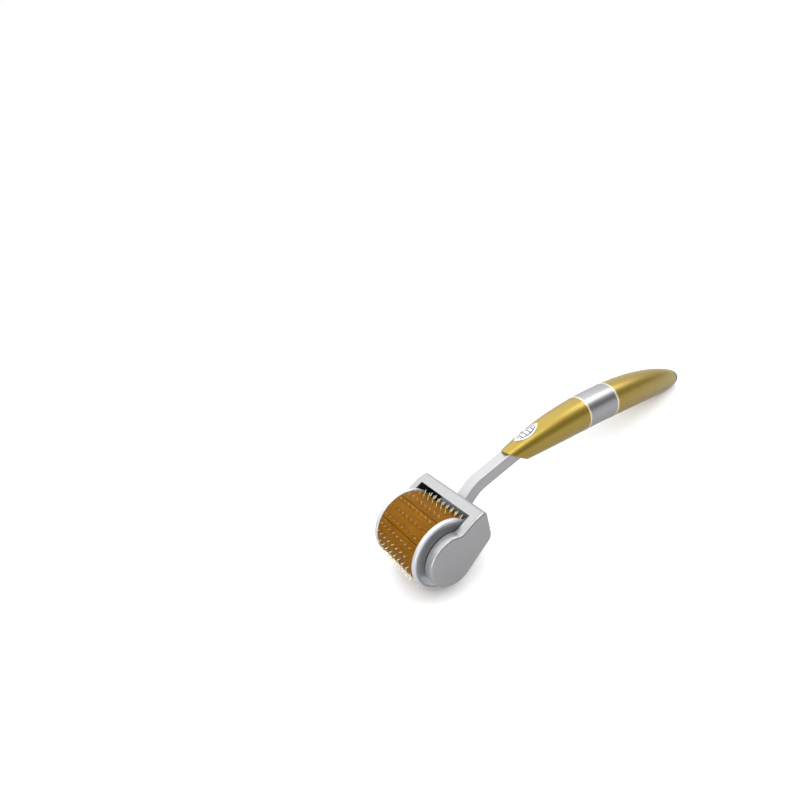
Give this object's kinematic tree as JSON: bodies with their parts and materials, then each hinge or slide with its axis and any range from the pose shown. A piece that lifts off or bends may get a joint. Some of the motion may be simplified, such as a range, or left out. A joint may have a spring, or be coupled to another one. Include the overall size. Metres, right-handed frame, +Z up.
{
  "type": "derma roller",
  "caption": "Hand-held skin needling roller: a needle-studded drum between two flanges spins in a flat-topped fork on a curved neck and a slim oval handle.",
  "frame": {"origin": "middle of the bounding box, on the surface that the roller lies on", "axes": "+X from the needle wheel to the tail of the handle, +Y along the wheel's axle, +Z up"},
  "size_m": [0.1584, 0.032, 0.0276],
  "materials": {
    "silver_paint": "moulded plastic with satin metallic silver paint",
    "neck_silver": "moulded plastic with bright glossy silver plating",
    "flange_silver": "moulded plastic with bright metallic silver paint",
    "gold_paint": "moulded plastic with satin metallic champagne gold paint",
    "trim_gold": "pale gold plated plastic",
    "band_silver": "brushed-look metallic silver",
    "cap_silver": "satin metallic grey",
    "badge_chrome": "bright plated",
    "amber_plastic": "moulded translucent amber plastic",
    "needle_gold": "polished gold-coloured titanium-coated steel",
    "steel": "ground steel",
    "nylon": "natural white nylon"
  },
  "bodies": {
    "holder": {"fork_frame": "silver_paint", "neck": "neck_silver", "axle_pin": "steel", "left_thrust_washer": "nylon", "right_thrust_washer": "nylon", "handle_rod": "steel", "handle_front_shell": "gold_paint", "front_trim_ring": "trim_gold", "handle_band": "band_silver", "rear_trim_ring": "trim_gold", "handle_rear_shell": "gold_paint", "end_cap": "cap_silver", "badge_bezel": "badge_chrome", "badge_inlay": "badge_chrome"},
    "wheel": {"drum_core": "amber_plastic", "left_hub_bush": "nylon", "right_hub_bush": "nylon", "left_flange": "flange_silver", "right_flange": "flange_silver", "drum_segment_1": "amber_plastic", "drum_segment_2": "amber_plastic", "drum_segment_3": "amber_plastic", "drum_segment_4": "amber_plastic", "drum_segment_5": "amber_plastic", "drum_segment_6": "amber_plastic", "drum_segment_7": "amber_plastic", "drum_segment_8": "amber_plastic", "needles_1": "needle_gold", "needles_2": "needle_gold", "needles_3": "needle_gold", "needles_4": "needle_gold", "needles_5": "needle_gold", "needles_6": "needle_gold", "needles_7": "needle_gold", "needles_8": "needle_gold"}
  },
  "joints": [
    {"name": "wheel_spin", "type": "hinge", "parent": "holder", "child": "wheel", "pos_m": [-0.06543, 0, 0.01379], "axis": [0, 1, 0], "continuous": true}
  ]
}
